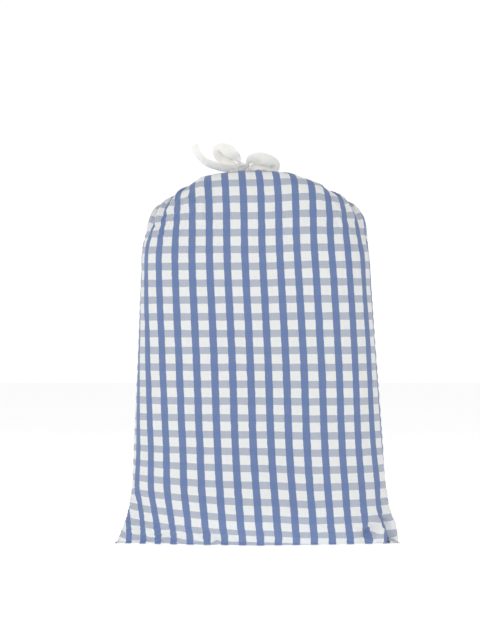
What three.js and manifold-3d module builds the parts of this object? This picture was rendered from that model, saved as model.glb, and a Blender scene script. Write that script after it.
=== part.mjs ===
// A filled drawstring sack of woven cotton, standing on its base.
// Millimetres, +Z up, front towards -Y, origin at the centre of the base.
// Two flat cloth panels are sewn together down both sides and along the bottom.
// The mouth is hemmed into a casing, drawn up by a cotton tape and tied in a bow.

import * as THREE from "three";
import { LoftGeometry } from "three/addons/geometries/LoftGeometry.js";
import { mergeVertices } from "three/addons/utils/BufferGeometryUtils.js";
import Module from "manifold-3d";

const wasm = await Module();
wasm.setup();

// ---------------------------------------------------------------- driving dimensions

const GAP = 0.3; // left between pieces that touch
const FLAT_WIDTH = 402; // of the empty sack laid flat, side seam to side seam
const HEIGHT = 523; // floor to the ridge where the front folds over to the top

const WALL = { side: 3, face: 2, end: 2 }; // cloth with its bulk, at seams, faces and ends

const BASE_RADIUS = 72; // rounding of the belly into the base, seen from the side
const BASE_SINK = 7; // how far that rounding is pressed flat by the floor
const EAR_HEIGHT = 61; // the sewn corners stand out below this height
const EAR_REACH = 20; // how far the corners stand out past the belly

const BELLY_HALF_WIDTH = 181; // just above the ears
const BELLY_TAPER = 0.064; // loss of half width for each unit of height
const SHOULDER_HEIGHT = 413; // where the sides begin to turn in
const LEAN = 0.015; // sideways drift of the sack's middle for each unit of height

const RIDGE = { halfWidth: 141, sideZ: 470, frontY: -45, backY: 60, backZ: 481 };
const CROWN = 6; // how far the gathered top puffs up between ridge and throat

const THROAT = new THREE.Vector3(-22, 18, 494); // where the mouth is drawn together
const THROAT_RADIUS = 16;
const COLLAR = 1.5; // the cloth's edge standing up round the throat
const NECK_TILT = THREE.MathUtils.degToRad(22); // the neck leans back, square to the top

const CASING = { bottom: 10, top: 28, inner: 11, outer: 22, cloth: 1.2, pleats: 20 };
const TAPE = { width: 12, thickness: 1.6 };
const SLOT = { angle: 14, width: 3, bottom: 11, top: 25 }; // buttonholes in the casing
const STUB_REACH = 27.8; // the tape's ends stop here, just short of the knot
const KNOT_RADIUS = 8;
const KNOT = new THREE.Vector3(-22, -2.7, 528.2);

// ---------------------------------------------------------------- materials

const cloth = (color) => new THREE.MeshStandardMaterial({ color, roughness: 0.9, metalness: 0 });
const CHECKED_CLOTH = cloth(0xb7c1d8);
const SEAM_CLOTH = cloth(0x8f9fc6);
const TAPE_COTTON = cloth(0xf2efe6);
const THREAD = cloth(0xe9e6dc);
const WADDING = cloth(0xe6e2d8);

// ---------------------------------------------------------------- helpers

const lerp = THREE.MathUtils.lerp;

function signedPower(value, power) {
  return Math.sign(value) * Math.abs(value) ** power;
}

function named(name, geometry, material) {
  const mesh = new THREE.Mesh(geometry, material);
  mesh.name = name;
  return mesh;
}

// three.js geometry to manifold solid, without the triangles that shrink to a line
function solidOf(source) {
  const geometry = new THREE.BufferGeometry();
  geometry.setAttribute("position", source.attributes.position);
  geometry.setIndex(source.index);
  const merged = mergeVertices(geometry, 1e-3);
  const corners = merged.index.array;
  const kept = [];
  for (let i = 0; i < corners.length; i += 3) {
    const [a, b, c] = corners.subarray(i, i + 3);
    if (a !== b && b !== c && c !== a) kept.push(a, b, c);
  }
  return new wasm.Manifold(
    new wasm.Mesh({
      numProp: 3,
      vertProperties: Float32Array.from(merged.attributes.position.array),
      triVerts: Uint32Array.from(kept),
    }),
  );
}

// manifold solid to three.js geometry
function geometryOf(solid) {
  const mesh = solid.getMesh();
  const geometry = new THREE.BufferGeometry();
  geometry.setAttribute("position", new THREE.BufferAttribute(mesh.vertProperties, mesh.numProp));
  geometry.setIndex(new THREE.BufferAttribute(mesh.triVerts, 1));
  geometry.computeVertexNormals();
  return geometry;
}

// a block that spans low to high in y and everything in x and z
function slabBetween(lowY, highY) {
  const reach = 2 * HEIGHT;
  const box = new THREE.BoxGeometry(reach, highY - lowY, 2 * reach);
  return solidOf(box.translate(0, (lowY + highY) / 2, 0));
}

// a flat tape swept along a smooth curve, its width turning from one direction to another
function tapeAlong(points, widthFrom, widthTo, steps) {
  const curve = new THREE.CatmullRomCurve3(points);
  const sections = [];
  for (let i = 0; i <= steps; i++) {
    const t = i / steps;
    const at = curve.getPointAt(t);
    const along = curve.getTangentAt(t);
    const across = widthFrom.clone().lerp(widthTo, t);
    across.addScaledVector(along, -across.dot(along)).setLength(TAPE.width / 2);
    const up = new THREE.Vector3().crossVectors(along, across).setLength(TAPE.thickness / 2);
    const corner = (a, b) => at.clone().addScaledVector(across, a).addScaledVector(up, b);
    sections.push([corner(1, 1), corner(-1, 1), corner(-1, -1), corner(1, -1)]);
  }
  return new LoftGeometry(sections, { capStart: true, capEnd: true });
}

// ---------------------------------------------------------------- shape of the filled sack

function bellyHalfWidth(z) {
  const ear = EAR_REACH * Math.max(0, 1 - z / EAR_HEIGHT) ** 1.3;
  return BELLY_HALF_WIDTH + ear - BELLY_TAPER * Math.max(0, z - EAR_HEIGHT);
}

function bellyHalfDepth(z) {
  return BASE_RADIUS - 4 * (z / SHOULDER_HEIGHT) ** 2;
}

// A level is one ring of the sack: its half width, where its front and back faces lie,
// the heights of its side, front and back, and how boxy its outline is (2 is an ellipse).
function baseLevels() {
  const levels = [];
  const start = Math.acos((BASE_RADIUS - BASE_SINK) / BASE_RADIUS);
  const steps = 5;
  for (let i = 0; i <= steps; i++) {
    const turn = lerp(start, Math.PI / 2, i / steps);
    const z = BASE_RADIUS * (1 - Math.cos(turn)) - BASE_SINK;
    const depth = BASE_RADIUS * Math.sin(turn);
    const boxiness = lerp(1.2, 1.7, i / steps);
    levels.push(straightLevel(z, depth, boxiness));
  }
  return levels;
}

function straightLevel(z, depth, boxiness) {
  return {
    halfWidth: bellyHalfWidth(z),
    frontY: -depth,
    backY: depth,
    sideZ: z,
    frontZ: z,
    backZ: z,
    boxiness,
  };
}

function bellyLevels() {
  const levels = [];
  const start = BASE_RADIUS - BASE_SINK;
  const steps = 4;
  for (let i = 1; i <= steps; i++) {
    const z = lerp(start, SHOULDER_HEIGHT, i / steps);
    levels.push(straightLevel(z, bellyHalfDepth(z), lerp(1.7, 2.4, i / steps)));
  }
  return levels;
}

function shoulderLevels() {
  const depth = bellyHalfDepth(SHOULDER_HEIGHT);
  const width = bellyHalfWidth(SHOULDER_HEIGHT);
  const bend = (...numbers) => {
    const points = [];
    for (let i = 0; i < 8; i += 2) points.push(new THREE.Vector2(numbers[i], numbers[i + 1]));
    return new THREE.CubicBezierCurve(...points);
  };
  const side = bend(width, SHOULDER_HEIGHT, 154, 440, 150, 458, RIDGE.halfWidth, RIDGE.sideZ);
  const front = bend(-depth, SHOULDER_HEIGHT, -67, 475, -66, 517, RIDGE.frontY, HEIGHT);
  const back = bend(depth, SHOULDER_HEIGHT, 68, 450, 68, 478, RIDGE.backY, RIDGE.backZ);
  const levels = [];
  const steps = 4;
  for (let i = 1; i <= steps; i++) {
    const t = i / steps;
    const [s, f, b] = [side, front, back].map((curve) => curve.getPoint(t));
    levels.push({
      halfWidth: s.x,
      frontY: f.x,
      backY: b.x,
      sideZ: s.y,
      frontZ: f.y,
      backZ: b.y,
      boxiness: 2.4,
    });
  }
  return levels;
}

const LEVELS = [...baseLevels(), ...bellyLevels(), ...shoulderLevels()];

// One ring of points round a level, drawn in by an inset on its sides, faces and ends.
function ringOf(level, inset, count) {
  const points = [];
  const squeezed = (z) => lerp(inset.end, HEIGHT - inset.end, z / HEIGHT);
  const middleY = (level.frontY + level.backY) / 2;
  const halfDepth = (level.backY - level.frontY) / 2 - inset.face;
  const halfWidth = level.halfWidth - inset.side;
  for (let i = 0; i < count; i++) {
    const angle = (i / count) * 2 * Math.PI;
    const [c, s] = [Math.cos(angle), Math.sin(angle)];
    const faceZ = s < 0 ? level.frontZ : level.backZ;
    const z = squeezed(lerp(level.sideZ, faceZ, Math.abs(s) ** 2.1));
    const drift = LEAN * (HEIGHT / 2 - z) * Math.min(1, z / EAR_HEIGHT);
    points.push(
      new THREE.Vector3(
        halfWidth * signedPower(c, 2 / level.boxiness) + drift,
        middleY + halfDepth * signedPower(s, 2 / level.boxiness),
        z,
      ),
    );
  }
  return points;
}

// The throat's ring, square to the neck; height is measured along the neck.
function throatRing(radius, height, count) {
  const points = [];
  for (let i = 0; i < count; i++) {
    const angle = (i / count) * 2 * Math.PI;
    const point = new THREE.Vector3(radius * Math.cos(angle), radius * Math.sin(angle), height);
    points.push(point.applyAxisAngle(new THREE.Vector3(1, 0, 0), -NECK_TILT).add(THROAT));
  }
  return points;
}

// The closed outer form of the sack, from its flat base over the ridge to the throat,
// where a short collar of cloth may stand up along the neck.
function envelope(inset, count, collar) {
  const rings = LEVELS.map((level) => ringOf(level, inset, count));
  const ridge = rings[rings.length - 1];
  const throatRadius = THROAT_RADIUS - inset.face;
  const throat = throatRing(throatRadius, -inset.end, count);
  const steps = 3;
  for (let i = 1; i <= steps; i++) {
    const t = i / steps;
    const puff = CROWN * Math.sin(Math.PI * t);
    rings.push(
      ridge.map((point, k) => {
        const moved = point.clone().lerp(throat[k], t);
        moved.z += puff;
        return moved;
      }),
    );
  }
  if (collar > 0) rings.push(throatRing(throatRadius, collar, count));
  const last = rings[rings.length - 1];
  const middle = new THREE.Vector3();
  for (const point of last) middle.addScaledVector(point, 1 / count);
  rings.push(last.map(() => middle));
  return new LoftGeometry(rings, { capStart: true });
}

// ---------------------------------------------------------------- cloth panels

const RING_POINTS = 36;
const outside = solidOf(envelope({ side: 0, face: 0, end: 0 }, RING_POINTS, COLLAR));
const inside = solidOf(envelope(WALL, RING_POINTS, 2 * COLLAR));
const shell = outside.subtract(inside);

// Everything in front of the seam line, or behind it. The line runs straight down both
// sides and across the base, and over the shoulders it bends back to meet the throat.
function seamSideBlock(facing) {
  const reach = 2 * HEIGHT;
  const edge = (facing * GAP) / 2;
  const half = facing < 0 ? slabBetween(-reach, edge) : slabBetween(edge, reach);
  const bend = new THREE.Shape();
  bend.moveTo(-reach, edge);
  bend.lineTo(-RIDGE.halfWidth, edge);
  bend.lineTo(THROAT.x - 2 * THROAT_RADIUS, THROAT.y + edge);
  bend.lineTo(THROAT.x + 2 * THROAT_RADIUS, THROAT.y + edge);
  bend.lineTo(RIDGE.halfWidth, edge);
  bend.lineTo(reach, edge);
  bend.lineTo(reach, facing * reach);
  bend.lineTo(-reach, facing * reach);
  const above = new THREE.ExtrudeGeometry(bend, { depth: reach, bevelEnabled: false });
  const top = solidOf(above.translate(0, 0, HEIGHT / 2));
  const below = new THREE.BoxGeometry(2 * reach, 2 * reach, 2 * reach);
  const bottom = solidOf(below.translate(0, 0, HEIGHT / 2 - reach));
  return half.intersect(bottom).add(top);
}

const frontPanel = shell.intersect(seamSideBlock(-1));
const backPanel = shell.intersect(seamSideBlock(1));

// ---------------------------------------------------------------- seams, inside the sack

const SEAM_ALLOWANCE = 7;
const SEAM_THICKNESS = 1.6;
const SEAM_CLEARANCE = 2; // from the narrow corner where the two panels meet

// The two panels' raw edges, standing inwards from the side seam like a fin.
function sideSeam(side) {
  const sections = [];
  const quarter = side > 0 ? 0 : 2; // which of a ring's four points is on this side
  const drawnIn = (level, by) =>
    ringOf(level, { side: WALL.side + by, face: WALL.face, end: WALL.end + 1 }, 4)[quarter];
  for (const level of LEVELS.slice(2)) {
    const outer = drawnIn(level, SEAM_CLEARANCE);
    const inner = drawnIn(level, SEAM_CLEARANCE + SEAM_ALLOWANCE);
    const section = [];
    for (const [edge, way] of [[outer, -1], [outer, 1], [inner, 1], [inner, -1]]) {
      section.push(new THREE.Vector3(edge.x, (way * SEAM_THICKNESS) / 2, edge.z));
    }
    sections.push(side > 0 ? section : section.reverse());
  }
  return new LoftGeometry(sections, { capStart: true, capEnd: true });
}

// The bottom seam's allowance, pressed flat on the base.
function bottomSeam() {
  const length = 0.86 * FLAT_WIDTH;
  const outline = new THREE.Shape();
  const [half, end] = [SEAM_ALLOWANCE / 2, length / 2];
  outline.moveTo(-end + half, -half);
  outline.lineTo(end - half, -half);
  outline.absarc(end - half, 0, half, -Math.PI / 2, Math.PI / 2, false);
  outline.lineTo(-end + half, half);
  outline.absarc(-end + half, 0, half, Math.PI / 2, (3 * Math.PI) / 2, false);
  const options = { depth: SEAM_THICKNESS, bevelEnabled: false, curveSegments: 6 };
  return new THREE.ExtrudeGeometry(outline, options).translate(0, 0, WALL.end + GAP);
}

// ---------------------------------------------------------------- the folded filling

const LOAD_INSET = { side: 15, face: 3.8, end: 5 };
const LOAD_POINTS = 24;
const LOAD_FOLDS = 3; // thick folds, one behind the other
const NECK_POCKET = 17; // room for the foot of the neck to turn

function loadFolds() {
  const pocket = solidOf(
    new THREE.SphereGeometry(NECK_POCKET, 16, 10).translate(...THROAT.toArray()),
  );
  const whole = solidOf(envelope(LOAD_INSET, LOAD_POINTS, 0)).subtract(pocket);
  const depth = (2 * BASE_RADIUS) / LOAD_FOLDS;
  const folds = [];
  for (let i = 0; i < LOAD_FOLDS; i++) {
    const low = -BASE_RADIUS + i * depth + GAP;
    folds.push(geometryOf(whole.intersect(slabBetween(low, low + depth - 2 * GAP))));
  }
  return folds;
}

// ---------------------------------------------------------------- neck, in its own frame
// The neck's frame has its origin at the throat and +Z along the neck.

// Cloth drawn together inside the casing, with a ball foot that turns in the throat.
function neckGather() {
  const ball = THROAT_RADIUS - 3.4;
  const stalk = CASING.inner - 2.4;
  const foot = new THREE.Vector2(0, -ball);
  const profile = [foot];
  const turn = Math.PI - Math.asin(stalk / ball);
  const steps = 8;
  for (let i = 1; i <= steps; i++) {
    const angle = (turn * i) / steps;
    profile.push(new THREE.Vector2(ball * Math.sin(angle), -ball * Math.cos(angle)));
  }
  profile.push(new THREE.Vector2(stalk, CASING.top - 3));
  profile.push(new THREE.Vector2(stalk - 3, CASING.top));
  profile.push(new THREE.Vector2(0, CASING.top - 7)); // the puckered middle
  const geometry = new THREE.LatheGeometry(profile, 20);
  return geometry.rotateX(Math.PI / 2);
}

// Half of the casing: the hem folded over the tape, its wall waved by the gathers.
function casingHalf(from, to) {
  const { bottom, top, inner, outer, cloth, pleats } = CASING;
  const profile = [
    [outer - 0.5, bottom, 1],
    [outer + 1, top - 3, 1],
    [outer - 0.8, top, 0.6],
    [inner + 2, top, 0.3],
    [inner, top - 3, 0.3],
    [inner - 0.5, bottom, 0.3],
    [inner + cloth - 0.5, bottom, 0.3],
    [inner + cloth, top - 3.6, 0.3],
    [inner + 2.6, top - cloth, 0.3],
    [outer - 1.4, top - cloth, 0.6],
    [outer + 1 - cloth, top - 3.6, 1],
    [outer - cloth - 0.5, bottom, 1],
  ].reverse();
  const steps = pleats * 2;
  const sections = [];
  for (let i = 0; i <= steps; i++) {
    const angle = lerp(from, to, i / steps);
    const wave = 1.3 * Math.cos(pleats * angle);
    sections.push(
      profile.map(([radius, height, share]) => {
        const r = radius + wave * share;
        return new THREE.Vector3(r * Math.cos(angle), r * Math.sin(angle), height);
      }),
    );
  }
  return new LoftGeometry(sections, { capStart: true, capEnd: true });
}

const slotAngle = (side) => THREE.MathUtils.degToRad(-90 + side * SLOT.angle);

// The front half has two upright slots through its outer wall for the tape's ends.
function frontCasing() {
  const edge = 0.008; // half the gap between the two halves, in radians
  let casing = solidOf(casingHalf(-Math.PI + edge, -edge));
  for (const side of [-1, 1]) {
    const cutter = new THREE.BoxGeometry(8, SLOT.width, SLOT.top - SLOT.bottom);
    cutter.translate(CASING.outer, 0, (SLOT.top + SLOT.bottom) / 2).rotateZ(slotAngle(side));
    casing = casing.subtract(solidOf(cutter));
  }
  return geometryOf(casing);
}

function backCasing() {
  const edge = 0.008;
  return casingHalf(edge, Math.PI - edge);
}

// The stitched rim round a slot, just proud of the casing's outer wall.
function buttonhole(side) {
  const [length, width] = [SLOT.top - SLOT.bottom + 3, SLOT.width + 2.6];
  const oval = (shape, long, wide) => {
    const straight = (long - wide) / 2;
    shape.absarc(0, straight, wide / 2, 0, Math.PI, false);
    shape.absarc(0, -straight, wide / 2, Math.PI, 2 * Math.PI, false);
    return shape.closePath();
  };
  const rim = oval(new THREE.Shape(), length, width);
  rim.holes.push(oval(new THREE.Path(), length - 2.6, width - 2.6));
  const options = { depth: 0.8, bevelEnabled: false, curveSegments: 6 };
  const geometry = new THREE.ExtrudeGeometry(rim, options).rotateX(Math.PI / 2);
  geometry.rotateZ(Math.PI / 2 + slotAngle(side)); // from facing -Y to facing outwards
  const height = (SLOT.top + SLOT.bottom) / 2;
  const radius = CASING.outer + 2.6;
  const angle = slotAngle(side);
  return geometry.translate(radius * Math.cos(angle), radius * Math.sin(angle), height);
}

// The drawstring: out of the knot, in through one slot, round the channel and out again.
function drawstring() {
  const height = (SLOT.top + SLOT.bottom) / 2;
  const at = (radius, angle) =>
    new THREE.Vector3(radius * Math.cos(angle), radius * Math.sin(angle), height);
  const channel = (CASING.inner + CASING.outer) / 2 + 0.1;
  const [first, last] = [slotAngle(-1), slotAngle(1) - 2 * Math.PI];
  const turns = [0.16, 0.3, 0.4, 0.5, 0.6, 0.7, 0.84];
  const points = [at(STUB_REACH, first), at(24, first), at(19.5, first)];
  for (const turn of turns) points.push(at(channel, lerp(first, last, turn)));
  points.push(at(19.5, last), at(24, last), at(STUB_REACH, last));
  const up = new THREE.Vector3(0, 0, 1);
  return tapeAlong(points, up, up, 44);
}

// ---------------------------------------------------------------- the bow, round the knot

const forward = new THREE.Vector3(0, 1, 0);
const at = (x, y, z) => new THREE.Vector3(x, y, z);

const LEFT_LOOP = [
  at(-4, 0, 8), at(-5, -2, 22), at(-11, -4, 34), at(-25, -4, 37),
  at(-38, -3, 31), at(-37, -2, 20), at(-23, -1, 11), at(-9, 0, 4.5),
];
const RIGHT_LOOP = [
  at(7, 0, 6), at(14, -3, 20), at(28, -5, 26), at(42, -5, 20),
  at(52, -4, 7), at(48, -2, -1), at(34, 0, -1), at(20, 0, 0), at(10, 0, 1.5),
];
const LEFT_TAIL = [
  at(-10, -1, -2), at(-24, -3, -4), at(-38, -5, -3),
  at(-51, -6, 4), at(-60, -7, 16), at(-66, -8, 30),
];
const RIGHT_TAIL = [
  at(8, -3, -8), at(21, 2, -9), at(33, 13, -10), at(38, 30, -15),
  at(39, 47, -24), at(40, 64, -33), at(40, 77, -43), at(40, 82, -56),
];

function knot() {
  const geometry = new THREE.SphereGeometry(KNOT_RADIUS, 18, 12);
  return geometry.scale(1, 0.85, 1);
}

// ---------------------------------------------------------------- assembly

const sack = new THREE.Group();
const [loadFront, loadMiddle, loadBack] = loadFolds();
sack.add(
  named("front_panel", geometryOf(frontPanel), CHECKED_CLOTH),
  named("back_panel", geometryOf(backPanel), CHECKED_CLOTH),
  named("left_side_seam", sideSeam(-1), SEAM_CLOTH),
  named("right_side_seam", sideSeam(1), SEAM_CLOTH),
  named("bottom_seam", bottomSeam(), SEAM_CLOTH),
  named("load_fold_front", loadFront, WADDING),
  named("load_fold_middle", loadMiddle, WADDING),
  named("load_fold_back", loadBack, WADDING),
);

const neck = new THREE.Group();
neck.position.copy(THROAT);
neck.rotation.x = -NECK_TILT;
neck.add(
  named("neck_gather", neckGather(), CHECKED_CLOTH),
  named("front_casing", frontCasing(), CHECKED_CLOTH),
  named("back_casing", backCasing(), CHECKED_CLOTH),
  named("left_buttonhole", buttonhole(-1), THREAD),
  named("right_buttonhole", buttonhole(1), THREAD),
  named("drawstring", drawstring(), TAPE_COTTON),
);

const flatOn = at(0.1, -0.35, 1); // the left tail shows its flat side to the front
const bow = new THREE.Group();
bow.position.copy(KNOT);
bow.add(
  named("bow_knot", knot(), TAPE_COTTON),
  named("left_loop", tapeAlong(LEFT_LOOP, forward, forward, 22), TAPE_COTTON),
  named("right_loop", tapeAlong(RIGHT_LOOP, forward, forward, 24), TAPE_COTTON),
  named("left_tail", tapeAlong(LEFT_TAIL, flatOn, at(1, -0.2, 0.3), 14), TAPE_COTTON),
  named("right_tail", tapeAlong(RIGHT_TAIL, at(0, 0.2, 1), at(1, 0, 0), 18), TAPE_COTTON),
);

const group = new THREE.Group();
group.add(sack, neck, bow);

export default group;
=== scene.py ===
"""A filled drawstring sack of checked cotton, tied with a tape bow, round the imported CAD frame.

The cloth is one closed sleeve of rows and columns laid over the filled form, gathered at
the neck and relaxed at its cut size, then split at the side seams into its two panels.
Lengths are in millimetres until a mesh is made, which is in metres. The lights and the
camera are placed in metres.
"""

import math

import bpy
import numpy as np
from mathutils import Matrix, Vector
from mathutils.bvhtree import BVHTree


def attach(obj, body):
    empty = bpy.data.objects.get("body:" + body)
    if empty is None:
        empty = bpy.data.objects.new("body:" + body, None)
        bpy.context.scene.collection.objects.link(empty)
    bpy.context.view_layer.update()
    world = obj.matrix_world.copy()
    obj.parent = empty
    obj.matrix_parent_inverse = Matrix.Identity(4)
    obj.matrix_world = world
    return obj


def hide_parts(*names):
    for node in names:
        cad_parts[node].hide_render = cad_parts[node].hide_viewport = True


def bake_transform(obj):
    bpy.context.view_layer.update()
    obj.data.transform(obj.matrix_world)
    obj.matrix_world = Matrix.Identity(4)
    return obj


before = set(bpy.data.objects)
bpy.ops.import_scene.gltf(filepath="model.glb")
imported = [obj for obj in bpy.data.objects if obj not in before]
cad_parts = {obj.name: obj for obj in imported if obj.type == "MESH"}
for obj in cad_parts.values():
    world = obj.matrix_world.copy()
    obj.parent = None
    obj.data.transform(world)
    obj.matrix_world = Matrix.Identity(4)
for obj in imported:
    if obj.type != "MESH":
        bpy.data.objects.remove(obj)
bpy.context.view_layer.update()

MM = 0.001

# ---------------------------------------------------------------- sizes, in millimetres

FLAT_WIDTH = 402.0  # each panel, from side seam to side seam
HEIGHT = 523.0  # floor to the ridge
BASE_RADIUS = 72.0  # rounding of the belly into the base
BASE_SINK = 7.0  # how far the floor presses that rounding flat
EAR_HEIGHT = 61.0  # the bottom corners spread out below this height
EAR_REACH = 20.0  # how far they spread, at the floor
RIGHT_EAR = 5.0  # how much further the right one bulges
BELLY_HALF_WIDTH = 181.0
BELLY_TAPER = 0.064  # half width lost for each mm above the ears
SHOULDER_HEIGHT = 413.0
LEFT_TRIM = 0.052  # share of the half width that the left side loses above the shoulder
LEFT_LIFT = 3.5  # how much higher the cloth stands on the left of the top
LEAN = 0.015  # sideways drift for each mm of height
RIDGE_HALF_WIDTH = 141.0
RIDGE_SIDE_Z = 470.0
RIDGE_FRONT_Y = -45.0
RIDGE_BACK_Y = 60.0
RIDGE_BACK_Z = 481.0
CROWN = 6.0  # how far the cloth rises between the ridge and the throat
BASE_BOXINESS, BELLY_BOXINESS = 1.2, 1.56  # 2 makes a ring an ellipse, more makes it squarer
SHOULDER_BOXINESS, RIDGE_BOXINESS = 3.1, 2.4

THROAT = np.array([-22.0, 18.0, 494.0])
NECK_TILT = math.radians(22)
NECK_UP = np.array([0.0, math.sin(NECK_TILT), math.cos(NECK_TILT)])
NECK_BACK = np.array([0.0, math.cos(NECK_TILT), -math.sin(NECK_TILT)])
RIGHTWARDS = np.array([1.0, 0.0, 0.0])
PLEATS = 40  # round the whole neck
NECK_PLEAT_LIMIT = 2.7  # for looks: shallower than the cloth's full width would fold
FOLD_LIMIT = 11.0
GATHER_LENGTH = 75.0  # cloth below the throat on which the folds start
FRONT = -90  # degrees round the neck
SLOT_ANGLE = 14  # degrees from the front to each buttonhole
CHANNEL_HEIGHT = 18  # of the tape's middle inside the casing

TAPE_WIDTH = 12.0
TAPE_STEP = 1.3
LOOP_WIDTH = 17.0  # the soft tape spreads where it is bent round
KNOT = np.array([-22.0, -2.7, 528.2])

PANEL_COLUMNS = 160  # steps across each panel
COLUMN_STEP = FLAT_WIDTH / PANEL_COLUMNS
ROW_STEP = 2.8
CLOTH_THICKNESS = 0.7
FLOOR_GAP = 0.35  # the least height of the cloth's outside
SEAM_GAP = 0.5  # how far each panel stays on its own side, low down
STAND_OFF = 0.9  # the cloth's least distance from the filling
FREE_ABOVE_THROAT = 6.0  # the cloth further up the neck is held still
QUICK_ROUNDS, FULL_ROUNDS = 8, 26
SEAM_DEPTH, SEAM_SPREAD = 1.7, 2.4  # the groove along each side seam
PUCKER_HEIGHT, PUCKER_PITCH = 0.45, 15


# ---------------------------------------------------------------- shape of the filled sack


def lerp(a, b, t):
    return a + (b - a) * t


def smooth(t):
    t = np.clip(t, 0.0, 1.0)
    return t * t * (3 - 2 * t)


def belly_half_width(z):
    ear = EAR_REACH * max(0.0, 1 - z / EAR_HEIGHT) ** 1.3
    return BELLY_HALF_WIDTH + ear - BELLY_TAPER * max(0.0, z - EAR_HEIGHT)


def belly_half_depth(z):
    return BASE_RADIUS - 4 * (z / SHOULDER_HEIGHT) ** 2


def bezier(a, b, c, d, t):
    a, b, c, d = map(np.array, (a, b, c, d))
    return (1 - t) ** 3 * a + 3 * (1 - t) ** 2 * t * b + 3 * (1 - t) * t**2 * c + t**3 * d


def level(half_width, front, back, side_z, boxiness):
    """One ring of the sack: its half width, its front and back (y, z), side height and shape."""
    return {"w": half_width, "front": front, "back": back, "side_z": side_z, "n": boxiness}


def straight_level(z, depth, boxiness):
    return level(belly_half_width(z), (-depth, z), (depth, z), z, boxiness)


def body_levels():
    """The rings from the bottom seam up to the ridge."""
    found = []
    start = math.acos((BASE_RADIUS - BASE_SINK) / BASE_RADIUS)
    flat_depth = BASE_RADIUS * math.sin(start)
    for t in np.linspace(0.02, 1, 5)[:-1]:
        found.append(straight_level(0.0, flat_depth * t, BASE_BOXINESS))
    for t in np.linspace(0, 1, 12):
        turn = lerp(start, math.pi / 2, t)
        z = BASE_RADIUS * (1 - math.cos(turn)) - BASE_SINK
        boxiness = lerp(BASE_BOXINESS, BELLY_BOXINESS, t)
        found.append(straight_level(z, BASE_RADIUS * math.sin(turn), boxiness))
    belly_start = BASE_RADIUS - BASE_SINK
    for t in np.linspace(0, 1, 16)[1:]:
        z = lerp(belly_start, SHOULDER_HEIGHT, t)
        boxiness = lerp(BELLY_BOXINESS, SHOULDER_BOXINESS, t)
        found.append(straight_level(z, belly_half_depth(z), boxiness))
    depth = belly_half_depth(SHOULDER_HEIGHT)
    width = belly_half_width(SHOULDER_HEIGHT)
    # Shoulder to ridge: the two middle points of each curve are its handles.
    for t in np.linspace(0, 1, 14)[1:]:
        side = bezier((width, SHOULDER_HEIGHT), (154, 440), (150, 458),
                      (RIDGE_HALF_WIDTH, RIDGE_SIDE_Z), t)
        front = bezier((-depth, SHOULDER_HEIGHT), (-67, 475), (-66, 517),
                       (RIDGE_FRONT_Y, HEIGHT), t)
        back = bezier((depth, SHOULDER_HEIGHT), (68, 450), (68, 478),
                      (RIDGE_BACK_Y, RIDGE_BACK_Z), t)
        boxiness = lerp(SHOULDER_BOXINESS, RIDGE_BOXINESS, t)
        found.append(level(side[0], front, back, side[1], boxiness))
    return found


def ring_of(lv, angles, inset=0.0):
    """The ring's points, with the sack's lean and its uneven corners."""
    c, s = np.cos(angles), np.sin(angles)
    power = 2 / lv["n"]
    middle = (lv["front"][0] + lv["back"][0]) / 2
    depth = max(0.2, (lv["back"][0] - lv["front"][0]) / 2 - inset)
    face_z = np.where(s < 0, lv["front"][1], lv["back"][1])
    z = lerp(lv["side_z"], face_z, np.abs(s) ** 2.1)
    z = lerp(inset, HEIGHT - inset, z / HEIGHT)
    drift = LEAN * (HEIGHT / 2 - z) * np.minimum(1, z / EAR_HEIGHT)
    left_trim = np.where(c < 0, 1 - LEFT_TRIM * smooth((z - 415) / 50), 1.0)
    bulge = RIGHT_EAR * np.exp(-(((z - 24) / 18) ** 2)) * np.abs(c) ** 6
    right_ear = np.where(c > 0, bulge, 0.0)
    x = (lv["w"] - inset) * np.sign(c) * np.abs(c) ** power * left_trim + drift + right_ear
    y = middle + depth * np.sign(s) * np.abs(s) ** power
    shoulder = np.exp(-(((np.abs(c) - 0.5) / 0.18) ** 2)) * smooth((z - 480) / 30)
    left_lift = np.where(c < 0, LEFT_LIFT * shoulder, 0.0)
    return np.stack([x, y, z + left_lift], axis=1)


def neck_ring(radius, height, angles):
    across = np.outer(np.cos(angles), RIGHTWARDS) + np.outer(np.sin(angles), NECK_BACK)
    return THROAT + across * radius + NECK_UP * height


def half_angles(count):
    """Angles from the left seam round the front to the right seam, and on round the back."""
    front = np.linspace(-math.pi, 0, count + 1)
    back = np.linspace(0, math.pi, count + 1)
    return front, back


def even_columns(points, count):
    """Half a ring at the cloth's own steps from its middle. Where the half ring is shorter
    than the cloth is wide, the cloth is crowded towards the two seams."""
    lengths = np.concatenate([[0], np.cumsum(np.linalg.norm(np.diff(points, axis=0), axis=1))])
    short = 1 - lengths[-1] / FLAT_WIDTH
    power = 4.0 if short < 0.01 else min(4.0, max(1.0, 0.94 / short))
    off = np.linspace(-1, 1, count + 1)
    wanted = (off - short * np.sign(off) * np.abs(off) ** power) * FLAT_WIDTH / 2
    wanted = lengths[-1] / 2 + wanted * (lengths[-1] / 2) / wanted[-1]
    return np.stack([np.interp(wanted, lengths, points[:, k]) for k in range(3)], axis=1)


def sleeve_ring(make, count):
    """One closed row of the cloth sleeve: the front half, then the back half."""
    front, back = half_angles(400)
    first = even_columns(make(front), count)[:-1]
    second = even_columns(make(back), count)[:-1]
    return np.concatenate([first, second])


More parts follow.
